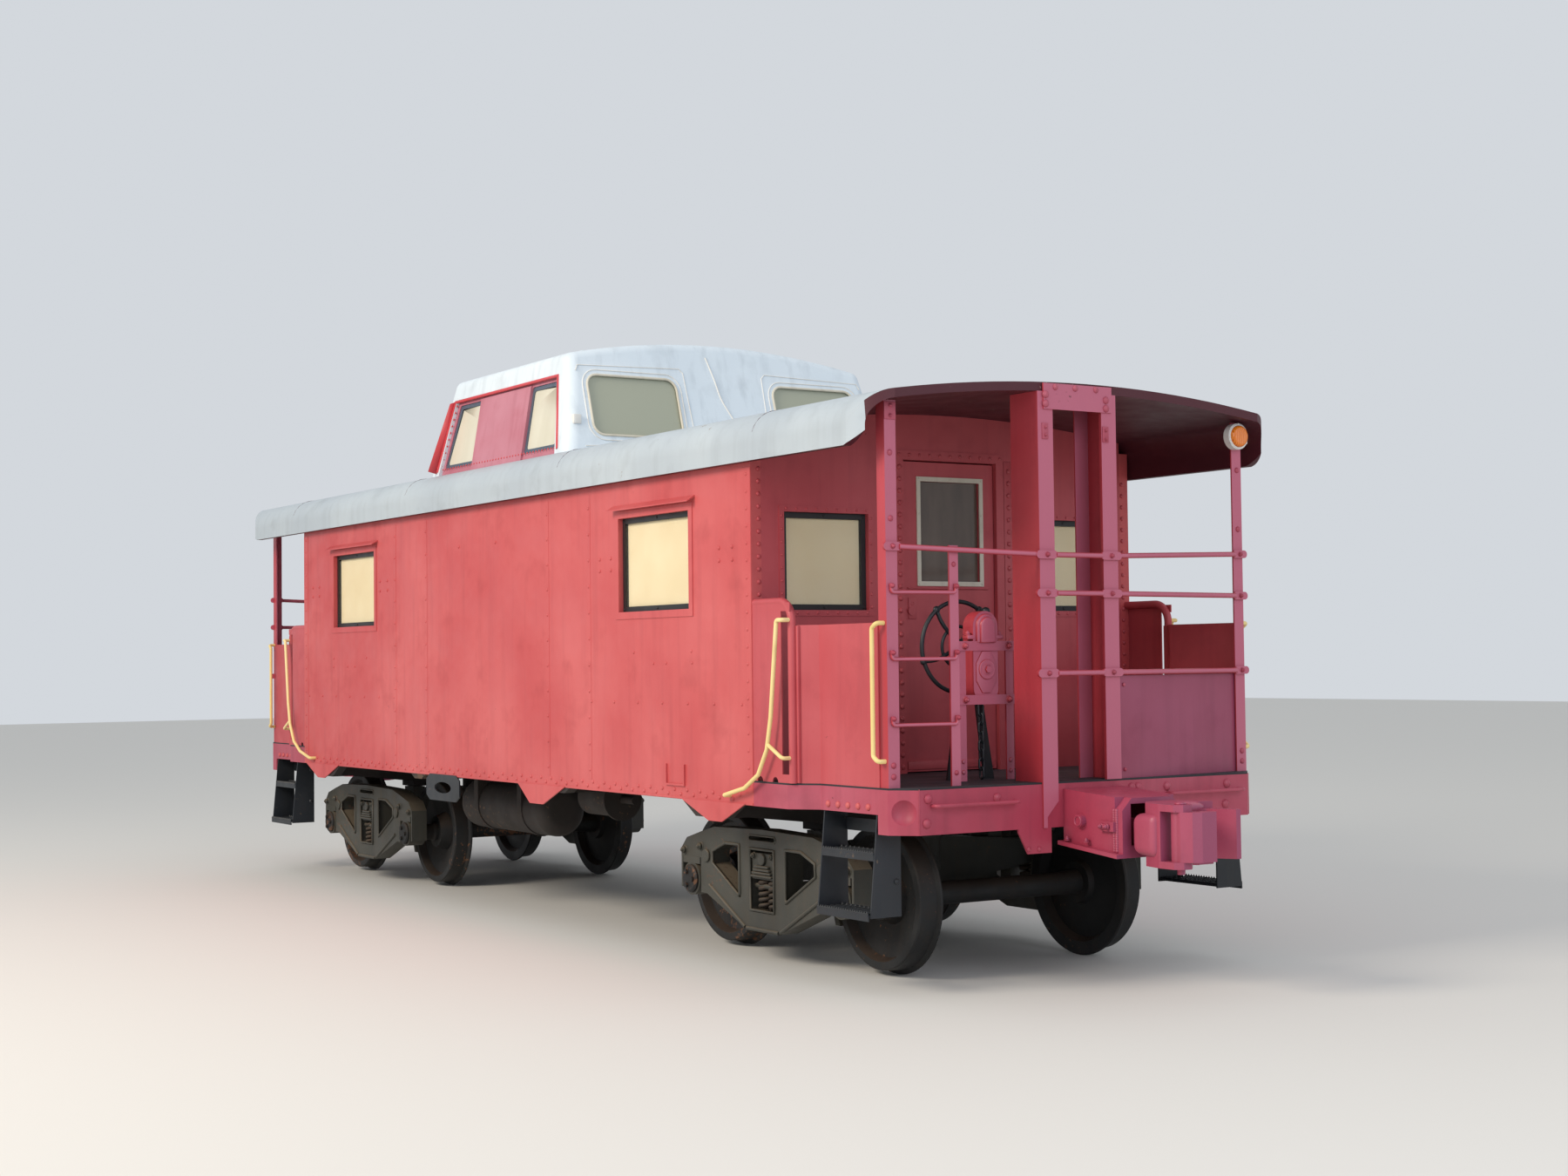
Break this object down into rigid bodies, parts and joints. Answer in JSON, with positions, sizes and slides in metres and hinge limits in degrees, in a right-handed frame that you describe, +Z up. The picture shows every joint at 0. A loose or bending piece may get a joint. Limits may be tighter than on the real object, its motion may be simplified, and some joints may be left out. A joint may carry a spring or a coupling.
{
  "type": "railway caboose",
  "caption": "Steel railway caboose with cupola, open end platforms, hand brakes, swivelling trucks, spinning wheelsets, opening doors and swinging coupler knuckles.",
  "frame": {"origin": "middle of the car, at the lowest point of the wheel flanges", "axes": "+X along the car towards the end with the round lamp, +Y across the car, +Z up; the ladder of the +X end stands on the -Y side"},
  "size_m": [11.782, 3.01, 4.1],
  "materials": {
    "red_paint": "weathered satin",
    "roof_paint": "worn satin",
    "truck_black": "dusty satin",
    "wheel_steel": "rusty",
    "underframe_black": "dusty matte",
    "deck_black": "matte",
    "yellow_paint": "satin",
    "black_sash": "satin",
    "grey_sash": "satin",
    "white_trim": "satin",
    "window_pane": "clear",
    "cupola_pane": "frosted",
    "blind_cloth": "matte",
    "brake_wheel_black": "satin",
    "chain_iron": "satin",
    "lamp_white": "satin",
    "lamp_amber": "gloss"
  },
  "bodies": {
    "body": {"end_wall_near": "red_paint", "end_wall_far": "red_paint", "underframe": "underframe_black", "end_sills": "red_paint", "deck": "deck_black", "draft_boxes": "red_paint", "couplers": "red_paint", "side_wall_ladder_side": "red_paint", "side_wall_far_side": "red_paint", "window_sashes": "black_sash", "window_glass": "window_pane", "window_blinds": "blind_cloth", "roof": "roof_paint", "cupola_shell": "roof_paint", "cupola_sides": "red_paint", "cupola_sashes": "grey_sash", "cupola_glass": "cupola_pane", "end_posts": "red_paint", "corner_posts": "red_paint", "guard_rails": "red_paint", "ladders": "red_paint", "quarter_panels": "red_paint", "step_closures": "red_paint", "end_panels": "red_paint", "steps": "truck_black", "grab_irons": "yellow_paint", "sill_grabs": "red_paint", "hand_brake_stands": "red_paint", "hand_brake_wheels": "brake_wheel_black", "hand_brake_pedestals": "brake_wheel_black", "hand_brake_chains": "chain_iron", "air_reservoir": "truck_black", "brake_cylinder": "truck_black", "brake_rods": "truck_black", "lamp_housing": "lamp_white", "lamp_lens": "lamp_amber"},
    "truck_near": {"truck_near_frames": "truck_black", "truck_near_bolster": "truck_black", "truck_near_springs": "truck_black", "truck_near_brakes": "truck_black"},
    "door_near": {"door_near": "red_paint", "door_window_trim_near": "white_trim", "door_window_glass_near": "window_pane"},
    "knuckle_near": {"knuckle_near": "red_paint"},
    "truck_far": {"truck_far_frames": "truck_black", "truck_far_bolster": "truck_black", "truck_far_springs": "truck_black", "truck_far_brakes": "truck_black"},
    "door_far": {"door_far": "red_paint", "door_window_trim_far": "white_trim", "door_window_glass_far": "window_pane"},
    "knuckle_far": {"knuckle_far": "red_paint"},
    "wheelset_1": {"wheelset_1": "wheel_steel"},
    "wheelset_2": {"wheelset_2": "wheel_steel"},
    "wheelset_3": {"wheelset_3": "wheel_steel"},
    "wheelset_4": {"wheelset_4": "wheel_steel"}
  },
  "joints": [
    {"name": "truck_near_swivel", "type": "hinge", "parent": "body", "child": "truck_near", "pos_m": [3.16, 0, 0.72], "axis": [0, 0, 1], "range_deg": [-5, 5]},
    {"name": "door_near_hinge", "type": "hinge", "parent": "body", "child": "door_near", "pos_m": [3.576, 0.341, 1.13], "axis": [0, 0, -1], "range_deg": [0, 100]},
    {"name": "knuckle_near_pin", "type": "hinge", "parent": "body", "child": "knuckle_near", "pos_m": [5.765, -0.118, 0.872], "axis": [0, 0, -1], "range_deg": [0, 45]},
    {"name": "truck_far_swivel", "type": "hinge", "parent": "body", "child": "truck_far", "pos_m": [-3.16, 0, 0.72], "axis": [0, 0, 1], "range_deg": [-5, 5]},
    {"name": "door_far_hinge", "type": "hinge", "parent": "body", "child": "door_far", "pos_m": [-3.576, -0.341, 1.13], "axis": [0, 0, -1], "range_deg": [0, 100]},
    {"name": "knuckle_far_pin", "type": "hinge", "parent": "body", "child": "knuckle_far", "pos_m": [-5.765, 0.118, 0.872], "axis": [0, 0, -1], "range_deg": [0, 45]},
    {"name": "wheelset_1_spin", "type": "hinge", "parent": "truck_near", "child": "wheelset_1", "pos_m": [3.998, 0, 0.4445], "axis": [0, 1, 0], "continuous": true},
    {"name": "wheelset_2_spin", "type": "hinge", "parent": "truck_near", "child": "wheelset_2", "pos_m": [2.322, 0, 0.4445], "axis": [0, 1, 0], "continuous": true},
    {"name": "wheelset_3_spin", "type": "hinge", "parent": "truck_far", "child": "wheelset_3", "pos_m": [-2.322, 0, 0.4445], "axis": [0, 1, 0], "continuous": true},
    {"name": "wheelset_4_spin", "type": "hinge", "parent": "truck_far", "child": "wheelset_4", "pos_m": [-3.998, 0, 0.4445], "axis": [0, 1, 0], "continuous": true}
  ]
}
